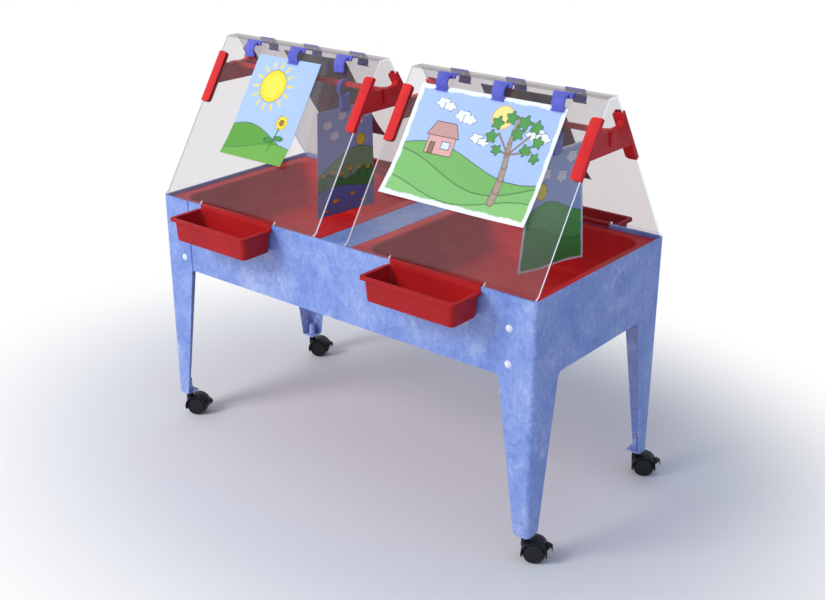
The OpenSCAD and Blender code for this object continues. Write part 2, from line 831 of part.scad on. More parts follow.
module left_easel_outer_brace() { translate([-easel_x, 0, 0]) mirror([1, 0, 0]) brace(); }
module left_easel_inner_brace() { translate([-easel_x, 0, 0]) brace(); }
module right_easel_inner_brace() { translate([easel_x, 0, 0]) mirror([1, 0, 0]) brace(); }
module right_easel_outer_brace() { translate([easel_x, 0, 0]) brace(); }

// Rail between the braces: it lies in their notches and hooks down outside them.
module rail() {
    out = brace_x + press_gap;
    inner = brace_x - shelf_w - 4;
    color(RED) {
        span([-inner, -rail_w / 2, rail_z], [inner, rail_w / 2, rail_z + rail_h]);
        for (s = [0, 1])
            mirror([s, 0, 0]) {
                span([inner - 1, -rail_tab_w / 2, rail_z],
                    [out + brace_t, rail_tab_w / 2, rail_z + rail_h]);
                span([out, -rail_tab_w / 2, rail_z + rail_h - tab_drop],
                    [out + brace_t, rail_tab_w / 2, rail_z + rail_h]);
            }
    }
}

module left_easel_rail() { translate([-easel_x, 0, 0]) rail(); }
module right_easel_rail() { translate([easel_x, 0, 0]) rail(); }

// A paper clip on the front panel: a head with a tongue through the panel's slot, and an
// arched spring jaw with a turned-out lip. In the panel's frame.
module paper_clip() {
    c = [-24, -5];
    r = 19;
    t = 3.4;
    hold = paper_t + 2 * press_gap;
    // jaw
    rotate([90, 0, 90])
        translate([0, 0, -clip_w / 2])
            linear_extrude(clip_w)
                polygon(concat(arc(c, r, 20, 150, 14),
                    [[-43, 3.4], [-46, 6.4], [-48.2, 5.6], [-44, hold], [-37.5, hold]],
                    arc(c, r - t, 148, 26, 14)));
    // head and tongue
    span([-clip_head_w / 2, -14, press_gap], [clip_head_w / 2, -head_v0, press_gap + 4]);
    span([-slot_l / 2 + 1, -slot_v - slot_h / 2 + 0.5, -easel_t - 2.6],
        [slot_l / 2 - 1, -slot_v + slot_h / 2 - 0.5, press_gap + 1]);
    span([-slot_l / 2 + 1, -slot_v - slot_h / 2 - 1, -easel_t - 2.6],
        [slot_l / 2 - 1, -slot_v + slot_h / 2 - 0.5, -easel_t - press_gap]);
}

module easel_clips() {
    color(CLIP_BLUE)
        for (side = [-1, 1])
            for (i = [-1:1])
                on_panel(side) translate([i * clip_pitch, 0, 0]) paper_clip();
}

module left_easel_clips() { translate([-easel_x, 0, 0]) easel_clips(); }
module right_easel_clips() { translate([easel_x, 0, 0]) easel_clips(); }

// Clip that hangs on the rail: an open hook in the rail's cross plane above a jaw that
// holds a sheet square to the rail.
module hook_clip() {
    jaw_top = hook_z - hook_r - hook_t + 1.5;
    jaw_bot = hang_top - 12;
    color(CLIP_BLUE)
        difference() {
            union() {
                along_x(-5, 5)
                    polygon(concat(arc([0, hook_z], hook_r + hook_t, 62, 320, 26),
                        arc([0, hook_z], hook_r, 320, 62, 26)));
                along_y(-clip_w / 2, clip_w / 2)
                    polygon([[-5, jaw_top], [-3, jaw_top - 8], [-4, jaw_bot], [4, jaw_bot],
                        [3, jaw_top - 8], [5, jaw_top]]);
            }
            span([-paper_t / 2 - press_gap, -clip_w, jaw_bot - 1],
                [paper_t / 2 + press_gap, clip_w, hang_top + press_gap]);
        }
}

module left_hook_clip() { translate([-easel_x + hang_x, 0, 0]) hook_clip(); }
module right_hook_clip() { translate([easel_x + hang_x, 0, 0]) hook_clip(); }

// A sheet of paper flat on a panel, held by the clips.
module panel_paper(side, l, h, shift) {
    on_panel(side)
        translate([shift, -paper_v - h / 2, press_gap + paper_t / 2])
            cube([l, h, paper_t], center = true);
}

module left_easel_papers() {
    color("ivory")
        translate([-easel_x, 0, 0]) {
            panel_paper(-1, paper_w, paper_l, -16);
            panel_paper(1, paper_w, paper_l, -6);
        }
}

module right_easel_papers() {
    color("ivory")
        translate([easel_x, 0, 0]) {
            panel_paper(-1, poster_l, paper_l, -18);
            panel_paper(1, paper_w, paper_l, 0);
        }
}

module hanging_paper() {
    color("ivory")
        span([-paper_t / 2, -hang_w / 2, hang_top - paper_l], [paper_t / 2, hang_w / 2, hang_top]);
}

module left_hanging_paper() { translate([-easel_x + hang_x, 0, 0]) hanging_paper(); }
module right_hanging_paper() { translate([easel_x + hang_x, 0, 0]) hanging_paper(); }

left_end_frame();
right_end_frame();
front_apron();
rear_apron();
centre_divider();
leg_bolts();
leg_nuts();
divider_rivets();
caster_bracket_fl();
caster_bracket_fr();
caster_bracket_rl();
caster_bracket_rr();
bracket_rivets();
caster_stem_fl();
caster_stem_fr();
caster_stem_rl();
caster_stem_rr();
caster_hood_fl();
caster_hood_fr();
caster_hood_rl();
caster_hood_rr();
caster_axle_fl();
caster_axle_fr();
caster_axle_rl();
caster_axle_rr();
near_wheel_fl();
near_wheel_fr();
near_wheel_rl();
near_wheel_rr();
far_wheel_fl();
far_wheel_fr();
far_wheel_rl();
far_wheel_rr();
brake_lever_fl();
brake_lever_fr();
brake_lever_rl();
brake_lever_rr();
left_tub();
right_tub();
front_left_tray();
front_right_tray();
rear_left_tray();
rear_right_tray();
left_easel_sheet();
right_easel_sheet();
left_easel_outer_brace();
left_easel_inner_brace();
right_easel_inner_brace();
right_easel_outer_brace();
left_easel_rail();
right_easel_rail();
left_easel_clips();
right_easel_clips();
left_hook_clip();
right_hook_clip();
left_easel_papers();
right_easel_papers();
left_hanging_paper();
right_hanging_paper();
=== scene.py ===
# %% [markdown]
# # A sand and water table
# This lesson dresses a children's sand and water table: a painted steel frame on casters, two
# red tubs, four hook-on trays and two clear easels with paintings. The exact shapes come from
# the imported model. Here they get their finishes, softer edges where a moulding has them, real
# paper, a camera and light.

# %% Start and load the frame
import json
import math
import bmesh
import bpy
import numpy as np
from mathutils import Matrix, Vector


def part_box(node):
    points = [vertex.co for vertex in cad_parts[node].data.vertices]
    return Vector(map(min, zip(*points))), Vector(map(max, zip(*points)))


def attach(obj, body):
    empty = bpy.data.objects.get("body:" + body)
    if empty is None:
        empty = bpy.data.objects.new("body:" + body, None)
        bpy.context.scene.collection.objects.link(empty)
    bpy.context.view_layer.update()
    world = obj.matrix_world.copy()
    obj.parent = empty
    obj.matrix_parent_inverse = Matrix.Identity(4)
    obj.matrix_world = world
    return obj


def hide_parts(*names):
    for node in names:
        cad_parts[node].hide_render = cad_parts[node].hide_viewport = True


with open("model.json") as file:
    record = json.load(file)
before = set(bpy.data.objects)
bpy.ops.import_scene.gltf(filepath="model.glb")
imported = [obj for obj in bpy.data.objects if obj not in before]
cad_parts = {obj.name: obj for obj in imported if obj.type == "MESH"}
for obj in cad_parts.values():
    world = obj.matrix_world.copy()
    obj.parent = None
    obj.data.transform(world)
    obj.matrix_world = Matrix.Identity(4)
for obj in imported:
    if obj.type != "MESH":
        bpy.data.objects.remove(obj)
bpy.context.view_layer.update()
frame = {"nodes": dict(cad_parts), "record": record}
nodes = frame["nodes"]

# %% [markdown]
# ## Two habits that keep operators honest
# An operator works on whatever is selected, and the loaded nodes are all selected at first. So
# every step begins by leaving edit mode and deselecting, and faces are then picked in code by
# where they are or which way they look.

# %% Selection helpers
def clear():
    if bpy.context.object and bpy.context.object.mode == "EDIT":
        bpy.ops.object.mode_set(mode="OBJECT")
    bpy.ops.object.select_all(action="DESELECT")


def only(obj):
    clear()
    obj.select_set(True)
    bpy.context.view_layer.objects.active = obj
    return obj


def pick(obj, kind, test):
    """In edit mode, selects the vertices, edges or faces whose middle passes the test."""
    bpy.ops.mesh.select_mode(type={"verts": "VERT", "edges": "EDGE", "faces": "FACE"}[kind])
    bpy.ops.mesh.select_all(action="DESELECT")
    bm = bmesh.from_edit_mesh(obj.data)
    for item in getattr(bm, kind):
        if kind == "verts":
            ok = test(item.co)
        elif kind == "edges":
            ok = all(test(v.co) for v in item.verts)
        else:
            ok = test(item.calc_center_median())
        item.select_set(ok)
    bm.select_flush_mode()
    bmesh.update_edit_mesh(obj.data)


def settle(obj, name, body, material):
    """Puts the object's place into its mesh and hands it to its body."""
    only(obj)
    bpy.ops.object.transform_apply(location=True, rotation=True, scale=True)
    obj.name = name
    obj.data.name = name
    obj.data.materials.clear()
    obj.data.materials.append(material)
    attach(obj, body)
    return obj


print("helpers ready")

# %% [markdown]
# ## Building a finish
# Every finish here starts from the same shader, with noise on the object's own coordinates for
# the things that vary: colour, roughness and a little bump. Object coordinates are metres, so a
# noise scale of 900 gives grain about a millimetre wide.

# %% Material helpers
NOISE_LOW, NOISE_HIGH = 0.3, 0.7        # nearly all of a noise lies between these


class Finish:
    def __init__(self, name, color, rough, **extra):
        self.mat = bpy.data.materials.new(name)
        self.mat.use_nodes = True
        self.tree = self.mat.node_tree
        self.shader = self.tree.nodes["Principled BSDF"]
        self.out = self.tree.nodes["Material Output"]
        self.shader.inputs["Base Color"].default_value = (*color, 1)
        self.shader.inputs["Roughness"].default_value = rough
        for key, value in extra.items():
            self.shader.inputs[key.replace("_", " ")].default_value = value
        self.coords = self.add("ShaderNodeTexCoord")

    def add(self, kind, **values):
        n = self.tree.nodes.new(kind)
        for key, value in values.items():
            if key in n.inputs:
                n.inputs[key].default_value = value
            else:
                setattr(n, key, value)
        return n

    def link(self, a, b):
        self.tree.links.new(a, b)

    def noise(self, scale, detail=4.0, rough=0.5, distortion=0.0, stretch=(1, 1, 1)):
        m = self.add("ShaderNodeMapping")
        m.inputs["Scale"].default_value = stretch
        self.link(self.coords.outputs["Object"], m.inputs["Vector"])
        n = self.add("ShaderNodeTexNoise", Scale=scale, Detail=detail, Roughness=rough,
                     Distortion=distortion)
        self.link(m.outputs["Vector"], n.inputs["Vector"])
        return n.outputs["Fac"]

    def ramp(self, value, stops):
        r = self.add("ShaderNodeValToRGB")
        while len(r.color_ramp.elements) < len(stops):
            r.color_ramp.elements.new(0.5)
        for e, (pos, col) in zip(r.color_ramp.elements, stops):
            e.position = pos
            e.color = (*col, 1) if len(col) == 3 else col
        self.link(value, r.inputs["Fac"])
        return r.outputs["Color"]

    def spread(self, value, low, high):
        r = self.add("ShaderNodeMapRange")
        r.inputs["From Min"].default_value = NOISE_LOW
        r.inputs["From Max"].default_value = NOISE_HIGH
        r.inputs["To Min"].default_value = low
        r.inputs["To Max"].default_value = high
        self.link(value, r.inputs["Value"])
        return r.outputs["Result"]

    def bump(self, value, strength, distance):
        b = self.add("ShaderNodeBump", Strength=strength, Distance=distance)
        self.link(value, b.inputs["Height"])
        self.link(b.outputs["Normal"], self.shader.inputs["Normal"])

    def color(self, socket):
        self.link(socket, self.shader.inputs["Base Color"])

    def rough(self, socket):
        self.link(socket, self.shader.inputs["Roughness"])


print("finish helper ready")

# %% [markdown]
# ## The blue paint
# The steel is coated in a mottled blue that looks as if it had been sponged: cloudy patches the
# size of a hand, with finer swirls in them and short upright streaks. A painted image could hold
# this, but noises need no file and have no seam. Three of them, each distorted and each with its
# share, are added and drive one colour ramp. The swirls also change the roughness, so reflections
# break up.

# %% Blue mottled paint
paint = Finish("blue_mottled_paint", (0.15, 0.24, 0.62), 0.42, Coat_Weight=0.35,
               Coat_Roughness=0.28, Specular_IOR_Level=0.8)
clouds = paint.noise(5.5, 5.0, 0.6, 1.4)
swirls = paint.noise(34.0, 7.0, 0.72, 1.5)
streaks = paint.noise(150.0, 4.0, 0.65, 0.9, (1.0, 1.0, 0.35))
cloud_share, swirl_share, streak_share = 0.42, 0.34, 0.24
mottle = paint.add("ShaderNodeMath", operation="MULTIPLY")
mottle.inputs[1].default_value = cloud_share
paint.link(clouds, mottle.inputs[0])
for finer, share in ((swirls, swirl_share), (streaks, streak_share)):
    coarser = mottle
    mottle = paint.add("ShaderNodeMath", operation="MULTIPLY_ADD")
    mottle.inputs[1].default_value = share
    paint.link(finer, mottle.inputs[0])
    paint.link(coarser.outputs[0], mottle.inputs[2])
paint.color(paint.ramp(mottle.outputs[0], [
    (0.36, (0.105, 0.185, 0.52)), (0.46, (0.17, 0.268, 0.635)), (0.54, (0.265, 0.36, 0.70)),
    (0.64, (0.48, 0.55, 0.80))]))
paint.rough(paint.spread(swirls, 0.34, 0.5))
paint.bump(paint.noise(420.0, 3.0), 0.12, 0.0004)
print("blue paint ready")

# %% [markdown]
# ## Plastics
# Tubs and trays are thermoformed from a red sheet with a fine leather-like grain. The tubs' red
# is painted lighter than the trays': painted light that makes up for the shade they sit in under
# the easels. The red braces and rails, the blue clips and the black casters are moulded, which
# leaves a smoother skin. All of these differ only in numbers, so one function makes them. Grain
# is a bump from a millimetre noise, and handling leaves a faint unevenness in the gloss.

# %% Moulded and formed plastics
GRAIN_HEIGHT = 0.0003


def plastic(name, dark, light, rough, grain, bump, **extra):
    f = Finish(name, dark, sum(rough) / 2, **extra)
    f.color(f.ramp(f.noise(9.0, 3.0, 0.55, 0.3), [(0.35, dark), (0.65, light)]))
    f.rough(f.spread(f.noise(34.0, 4.0, 0.6, 0.8), *rough))
    f.bump(f.noise(grain, 2.0, 0.6), bump, GRAIN_HEIGHT)
    return f


# the tubs' red is painted lighter than the trays', painted light for the shade inside the table
tub_red_painted_lighter = plastic("tub_red_plastic", (0.62, 0.012, 0.014), (0.72, 0.016, 0.018), (0.44, 0.56),
                  850.0, 0.16, Specular_IOR_Level=0.3)
tray_red = plastic("tray_red_plastic", (0.39, 0.009, 0.010), (0.46, 0.012, 0.013), (0.44, 0.56),
                   850.0, 0.14, Specular_IOR_Level=0.2)
brace_red = plastic("brace_red_plastic", (0.64, 0.018, 0.020), (0.74, 0.024, 0.026), (0.36, 0.46),
                    500.0, 0.07, Specular_IOR_Level=0.25)
clip_blue = plastic("clip_blue_plastic", (0.075, 0.085, 0.47), (0.11, 0.12, 0.56), (0.26, 0.36),
                    500.0, 0.05, Coat_Weight=0.2)
black = plastic("caster_black_plastic", (0.006, 0.006, 0.007), (0.01, 0.01, 0.012),
                (0.34, 0.5), 700.0, 0.12, Specular_IOR_Level=0.3)
wheel_black = plastic("wheel_black_plastic", (0.008, 0.008, 0.009), (0.014, 0.014, 0.016),
                      (0.3, 0.42), 600.0, 0.05, Specular_IOR_Level=0.35)
print("plastics ready")

# %% [markdown]
# ## Bright metal and white bolt heads
# The small steel pieces are zinc plated: grey, with a faint cloudy tint. The bolt heads are
# painted white and have caught a little dust.

# %% Metals
zinc = Finish("zinc_plate", (0.62, 0.63, 0.66), 0.35, Metallic=1.0)
zinc.color(zinc.ramp(zinc.noise(120.0, 4.0, 0.6, 1.0), [
    (0.3, (0.5, 0.51, 0.53)), (0.7, (0.7, 0.71, 0.73))]))
zinc.rough(zinc.spread(zinc.noise(300.0), 0.26, 0.42))
head = Finish("white_bolt_paint", (0.82, 0.84, 0.88), 0.35, Coat_Weight=0.3)
head.color(head.ramp(head.noise(180.0), [(0.3, (0.76, 0.78, 0.83)), (0.7, (0.88, 0.89, 0.92))]))
head.bump(head.noise(500.0), 0.08, 0.0002)
print("metals ready")

# %% [markdown]
# ## The clear easel plastic
# A clear sheet this thin bends light hardly at all. What the eye sees is a grey veil over what
# lies behind, a soft reflection, and bright cut edges where light gathers inside the sheet. So
# the finish mixes a see-through shader with a little scattering and gloss. The flatter the eye
# meets the sheet, the less light comes through and the more is reflected. The bright cut edges
# are a painted highlight: faces that look along the table count as cut edges and get a near-white
# colour with a faint glow of their own. Glass with real refraction would be the other way, but
# it is noisy when two easels stand one behind the other.

# %% Clear sheet
VEIL = (0.014, 0.026)                   # how much of the light the dust scatters
HEAD_ON, GRAZING = 0.025, 0.96          # how much is mirrored, head on and added at a flat angle
GRAZING_POWER = 5.0
EDGE_FACES = 0.7                        # a face turned this far along the table is a cut edge
# the glow of the painted highlight on the cut edges; no lamp lights them this way
PAINTED_EDGE_GLOW = 0.4


def clear_sheet(name):
    f = Finish(name, (0.62, 0.63, 0.64), 0.5)
    see = f.add("ShaderNodeBsdfTransparent")
    facing = f.add("ShaderNodeLayerWeight", Blend=0.5)
    f.link(f.ramp(facing.outputs["Facing"], [
        (0.15, (0.945, 0.947, 0.95)), (0.6, (0.83, 0.80, 0.81)), (0.95, (0.6, 0.58, 0.6))]),
        see.inputs["Color"])
    veil = f.add("ShaderNodeBsdfDiffuse")
    veil.inputs["Color"].default_value = (0.62, 0.62, 0.64, 1)
    body = f.add("ShaderNodeMixShader")
    dust = f.spread(f.noise(14.0, 5.0, 0.6, 0.5), *VEIL)
    f.link(dust, body.inputs["Fac"])
    f.link(see.outputs[0], body.inputs[1])
    f.link(veil.outputs[0], body.inputs[2])
    gloss = f.add("ShaderNodeBsdfGlossy")
    gloss.inputs["Roughness"].default_value = 0.06
    gloss.inputs["Color"].default_value = (0.9, 0.9, 0.9, 1)
    steep = f.add("ShaderNodeMath", operation="POWER")
    steep.inputs[1].default_value = GRAZING_POWER
    f.link(facing.outputs["Facing"], steep.inputs[0])
    shine = f.add("ShaderNodeMath", operation="MULTIPLY_ADD")
    shine.inputs[1].default_value = GRAZING
    shine.inputs[2].default_value = HEAD_ON
    f.link(steep.outputs[0], shine.inputs[0])
    coat = f.add("ShaderNodeMixShader")
    f.link(shine.outputs[0], coat.inputs["Fac"])
    f.link(body.outputs[0], coat.inputs[1])
    f.link(gloss.outputs[0], coat.inputs[2])
    # cut edges: faces that look along the table, towards either end, get a painted highlight
    geo = f.add("ShaderNodeNewGeometry")
    split = f.add("ShaderNodeSeparateXYZ")
    f.link(geo.outputs["True Normal"], split.inputs[0])
    along = f.add("ShaderNodeMath", operation="ABSOLUTE")
    f.link(split.outputs["X"], along.inputs[0])
    edge = f.add("ShaderNodeMath", operation="GREATER_THAN")
    edge.inputs[1].default_value = EDGE_FACES
    f.link(along.outputs[0], edge.inputs[0])
    # painted highlight: near-white with a faint glow, standing in for light gathered in the sheet
    bright = f.add("ShaderNodeBsdfPrincipled")
    bright.inputs["Base Color"].default_value = (0.9, 0.92, 0.93, 1)
    bright.inputs["Roughness"].default_value = 0.25
    bright.inputs["Emission Color"].default_value = (1, 1, 1, 1)
    bright.inputs["Emission Strength"].default_value = PAINTED_EDGE_GLOW
    whole = f.add("ShaderNodeMixShader")
    f.link(edge.outputs[0], whole.inputs["Fac"])
    f.link(coat.outputs[0], whole.inputs[1])
    f.link(bright.outputs[0], whole.inputs[2])
    f.link(whole.outputs[0], f.out.inputs["Surface"])
    return f


clear_plastic = clear_sheet("clear_easel_plastic")
print("clear plastic ready")

# %% [markdown]
# ## Dress the loaded nodes
# The record says which slot each node belongs to, so one table from slot to finish covers every
# node. Trays share the slot of the tubs but get the plain red; the tubs' red has painted light
# added. The paper is left out here, because it is drawn further down.

# %% Assign finishes
by_slot = {
    "blue_paint": paint, "white_head": head, "bright_steel": zinc, "black_plastic": black,
    "wheel_plastic": wheel_black, "red_plastic": tub_red_painted_lighter, "clear_plastic": clear_plastic,
    "red_brace_plastic": brace_red, "blue_clip_plastic": clip_blue}
slot_of = {s["node"]: s["material_slot"] for s in frame["record"]["subparts"]}
body_of = {n: b for b, names in frame["record"]["behaviour"]["bodies"].items() for n in names}


def finish_for(name):
    return tray_red if name.endswith("_tray") else by_slot.get(slot_of[name])


for name, obj in nodes.items():
    f = finish_for(name)
    if f:
        obj.data.materials.clear()
        obj.data.materials.append(f.mat)
print("finishes for slots:", ", ".join(sorted(by_slot)))

# %% [markdown]
# ## Softer edges
# A moulded or folded edge is never razor sharp, and the thin line of light along it is what
# makes an edge look real. The loaded meshes stay as they are. For each node whose edges catch
# the light, a copy is cleaned up, its flat areas are merged, and a small bevel is applied.

# %% Copies with bevelled edges
WELD = 0.00002                          # corners this close are one corner
FLAT = math.radians(0.6)                # faces this level are one face
SHARP = math.radians(35)                # an edge sharper than this is bevelled


def soften(name, width):
    source = nodes[name]
    copy = source.copy()
    copy.data = source.data.copy()
    copy.parent = None
    bpy.context.scene.collection.objects.link(copy)
    only(copy)
    for key in [k for k in copy.keys() if k.startswith("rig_")]:
        del copy[key]
    copy.matrix_world.identity()
    bpy.ops.object.mode_set(mode="EDIT")
    bpy.ops.mesh.select_all(action="SELECT")
    bpy.ops.mesh.remove_doubles(threshold=WELD)
    bpy.ops.mesh.dissolve_limited(angle_limit=FLAT)
    bpy.ops.object.mode_set(mode="OBJECT")
    bevel = copy.modifiers.new("edge", "BEVEL")
    bevel.width = width
    bevel.segments = 2
    bevel.limit_method = "ANGLE"
    bevel.angle_limit = SHARP
    bevel.use_clamp_overlap = True
    bpy.ops.object.modifier_apply(modifier="edge")
    bpy.ops.object.shade_smooth_by_angle(angle=math.radians(32))
    settle(copy, name + "_finish", body_of[name], finish_for(name).mat)
    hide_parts(name)
    return copy


tray_edge, brace_edge, clip_edge, caster_edge = 0.0011, 0.0009, 0.0006, 0.0005
soft = {}
for name in nodes:
    if name.endswith("_tray"):
        soft[name] = soften(name, tray_edge)
    elif name.endswith(("_brace", "_easel_rail")):
        soft[name] = soften(name, brace_edge)
    elif name.endswith(("_easel_clips", "_hook_clip")):
        soft[name] = soften(name, clip_edge)
    elif name.startswith(("caster_hood", "brake_lever")):
        soft[name] = soften(name, caster_edge)
print("softened", len(soft), "nodes,", sum(len(o.data.polygons) for o in soft.values()), "faces")

# %% [markdown]
# ## The tubs
# A thermoformed tub has a broad flange, large round corners, walls that lean inwards and a step
# above its floor that stiffens it. Everything is drawn from two rounded rectangles joined by a
# bridge: the inner loop is then pushed down and in, one move per feature. A thickness and a
# small bevel finish it.

# %% A rounded rectangle
CORNER_STEPS = 8


def rounded_plane(length, width, centre, radius):
    clear()
    bpy.ops.mesh.primitive_plane_add(size=1, location=centre)
    obj = bpy.context.object
    obj.scale = (length, width, 1)
    bpy.ops.object.transform_apply(location=False, rotation=False, scale=True)
    bpy.ops.object.mode_set(mode="EDIT")
    bpy.ops.mesh.select_all(action="SELECT")
    bpy.ops.mesh.bevel(offset=radius, segments=CORNER_STEPS, affect="VERTICES",
                       offset_type="OFFSET")
    bpy.ops.mesh.select_all(action="SELECT")
    bpy.ops.mesh.delete(type="ONLY_FACE")
    bpy.ops.object.mode_set(mode="OBJECT")
    return obj


print("rounded rectangle ready")

# %% [markdown]
# The mouth need not lie in the middle of the flange, so the flange's outline and the mouth are
# two loops of their own, and each ring of the wall shrinks about the mouth's middle.

# %% A basin from two rounded rectangles
SLACK = 1e-4                            # room around the mouth when its edges are picked
BASIN_EDGE = 0.0035


def basin(flange, mouth, top, radii, moves, wall):
    """flange and mouth are (low, high) corners; moves are (down, in) for each ring."""
    loops = []
    for (low, high), radius in zip((flange, mouth), radii):
        mid = ((low[0] + high[0]) / 2, (low[1] + high[1]) / 2, top)
        loops.append(rounded_plane(high[0] - low[0], high[1] - low[1], mid, radius))
    outer, inner = loops
    clear()
    inner.select_set(True)
    outer.select_set(True)
    bpy.context.view_layer.objects.active = outer
    bpy.ops.object.join()
    obj = bpy.context.object
    bpy.ops.object.transform_apply(location=True, rotation=True, scale=True)
    bpy.ops.object.mode_set(mode="EDIT")
    bpy.ops.mesh.select_all(action="SELECT")
    bpy.ops.mesh.bridge_edge_loops()

    def inside(co):
        return (low[0] - SLACK <= co.x <= high[0] + SLACK
                and low[1] - SLACK <= co.y <= high[1] + SLACK)

    pick(obj, "edges", inside)
    size = [high[0] - low[0], high[1] - low[1]]
    for down, inward in moves:
        bpy.ops.mesh.extrude_edges_move(TRANSFORM_OT_translate={"value": (0, 0, -down)})
        new = [s - 2 * inward for s in size]
        bpy.ops.transform.resize(value=(new[0] / size[0], new[1] / size[1], 1),
                                 center_override=mid)
        size = new
    bpy.ops.mesh.edge_face_add()
    bpy.ops.mesh.select_all(action="SELECT")
    bpy.ops.mesh.normals_make_consistent(inside=False)
    bpy.ops.object.mode_set(mode="OBJECT")
    if max(obj.data.polygons, key=lambda p: p.center.z).normal.z < 0:
        bpy.ops.object.mode_set(mode="EDIT")
        bpy.ops.mesh.select_all(action="SELECT")
        bpy.ops.mesh.flip_normals()
        bpy.ops.object.mode_set(mode="OBJECT")
    shell = obj.modifiers.new("wall", "SOLIDIFY")
    shell.thickness = wall
    shell.offset = -1
    shell.use_even_offset = True
    bpy.ops.object.modifier_apply(modifier="wall")
    edge = obj.modifiers.new("edge", "BEVEL")
    edge.width = BASIN_EDGE
    edge.segments = 3
    edge.limit_method = "ANGLE"
    edge.angle_limit = math.radians(24)
    bpy.ops.object.modifier_apply(modifier="edge")
    bpy.ops.object.shade_smooth_by_angle(angle=math.radians(40))
    return obj


print("basin helper ready")

# %% [markdown]
# The two tubs are mirror images: the flange is a little wider beside the divider than at the end
# of the table, and narrower along the sides. From the mouth down, the rings are the rounded lip,
# the upper wall, the step, the lower wall and two for the rounded corner above the floor.

# %% Two tubs
flange_middle, flange_end, flange_side = 0.0265, 0.025, 0.022
flange_radius, mouth_radius = 0.008, 0.045
tub_wall = 0.003
floor_room = 0.0035                     # the floor's thickness and a little air
for side in ("left", "right"):
    name = side + "_tub"
    lo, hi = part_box(name)
    at_low, at_high = flange_end, flange_middle
    if side == "right":
        at_low, at_high = at_high, at_low
    mouth = ((lo.x + at_low, lo.y + flange_side), (hi.x - at_high, hi.y - flange_side))
    depth = hi.z - lo.z - floor_room
    moves = [(0.004, 0.004), (depth * 0.60, 0.008), (0.004, 0.011), (depth * 0.22, 0.004),
             (0.008, 0.006), (0.003, 0.012)]
    tub = basin((lo, hi), mouth, hi.z, (flange_radius, mouth_radius), moves, tub_wall)
    settle(tub, name + "_shell", name, tub_red_painted_lighter.mat)
    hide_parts(name)
    print(name, "faces", len(tub.data.polygons))

# %% [markdown]
# ## Pictures, drawn in code
# The paper carries children's paintings of our own making: hills, a house, a tree, flowers, a
# pond. Each picture is a small function that gives a colour for a place on the sheet, and the
# colours are stored at the points of a fine grid. A shape is a distance from a line or a curve,
# with a dark outline where that distance is small, which is how felt-pen drawings look.

# %% Drawing tools
SOFT = 0.0008                           # how far a colour fades at its limit, in metres
LINE = 0.006                            # an outline's width, as a share of the sheet's
BARE_PAPER = (0.9, 0.9, 0.89)


class Picture:
    """A picture on a sheet w by h metres; x runs right and y up, both in metres."""

    def __init__(self, x, y, w, h, paper=(0.86, 0.86, 0.85)):
        self.x, self.y, self.w, self.h = x, y, w, h
        self.rgb = np.tile(np.array(paper, float), (len(x), 1))
        self.line = min(w, h) * LINE

    def lay(self, distance, color, ink=(0.03, 0.035, 0.03)):
        """Fills where distance < 0 and inks the outline."""
        a = np.clip(0.5 - distance / SOFT, 0, 1)[:, None]
        grain = 1 + 0.07 * np.sin(self.x * 900 + np.sin(self.y * 700) * 2)[:, None]
        self.rgb = self.rgb * (1 - a) + np.clip(np.array(color) * grain, 0, 1) * a
        if ink is not None:
            b = np.clip(0.5 - (np.abs(distance) - self.line / 2) / SOFT, 0, 1)[:, None]
            self.rgb = self.rgb * (1 - b) + np.array(ink) * b

    def disc(self, cx, cy, rx, ry=None, **kw):
        ry = ry or rx
        d = np.hypot((self.x - cx) / rx, (self.y - cy) / ry)
        self.lay((d - 1) * min(rx, ry), **kw)

    def blob(self, cx, cy, r, lobes, depth, squash=1.0, turn=0.0, **kw):
        dx, dy = self.x - cx, (self.y - cy) / squash
        a = np.arctan2(dy, dx)
        self.lay(np.hypot(dx, dy) - r * (1 + depth * np.cos(lobes * (a + turn))), **kw)

    def below(self, height, **kw):
        self.lay(self.y - height(self.x), **kw)

    def wash(self, color):
        """One colour over the whole sheet, without an outline."""
        self.lay(self.y - self.h, color, None)

    def shape(self, points, **kw):
        """A convex shape; its points run anticlockwise."""
        d = np.full(len(self.x), -1e9)
        for (x0, y0), (x1, y1) in zip(points, points[1:] + points[:1]):
            n = math.hypot(x1 - x0, y1 - y0)
            d = np.maximum(d, ((self.x - x0) * (y1 - y0) - (self.y - y0) * (x1 - x0)) / n)
        self.lay(d, **kw)

    def stroke(self, a, b, width, color):
        ax, ay = a
        bx, by = b
        t = ((self.x - ax) * (bx - ax) + (self.y - ay) * (by - ay))
        t = np.clip(t / ((bx - ax) ** 2 + (by - ay) ** 2), 0, 1)
        d = np.hypot(self.x - ax - t * (bx - ax), self.y - ay - t * (by - ay))
        self.lay(d - width / 2, color, None)

    def border(self, width, ragged):
        """A bare edge of paper with an uneven limit, as when paint stops short."""
        wobble = np.sin(self.x * 95) + np.sin(self.y * 130 + 1) + np.sin(self.x * 310) * 0.5
        inner = np.minimum.reduce([self.x, self.w - self.x, self.y, self.h - self.y])
        a = np.clip((width + ragged * wobble - inner) / 0.002, 0, 1)[:, None]
        self.rgb = self.rgb * (1 - a) + np.array(BARE_PAPER) * a


PALE_SKY = (0.42, 0.56, 0.9)
GRASS = (0.12, 0.36, 0.05)
LEAF = (0.06, 0.3, 0.05)
SUN = (0.95, 0.72, 0.04)
CLOUD = (0.88, 0.88, 0.9)
BARK = (0.3, 0.2, 0.13)
print("drawing tools ready")

# %% [markdown]
# The first painting, on the left easel: a big plain sun over a hill, and a flower. Like all of
# them it is drawn from the back to the front, because each shape covers what is under it.

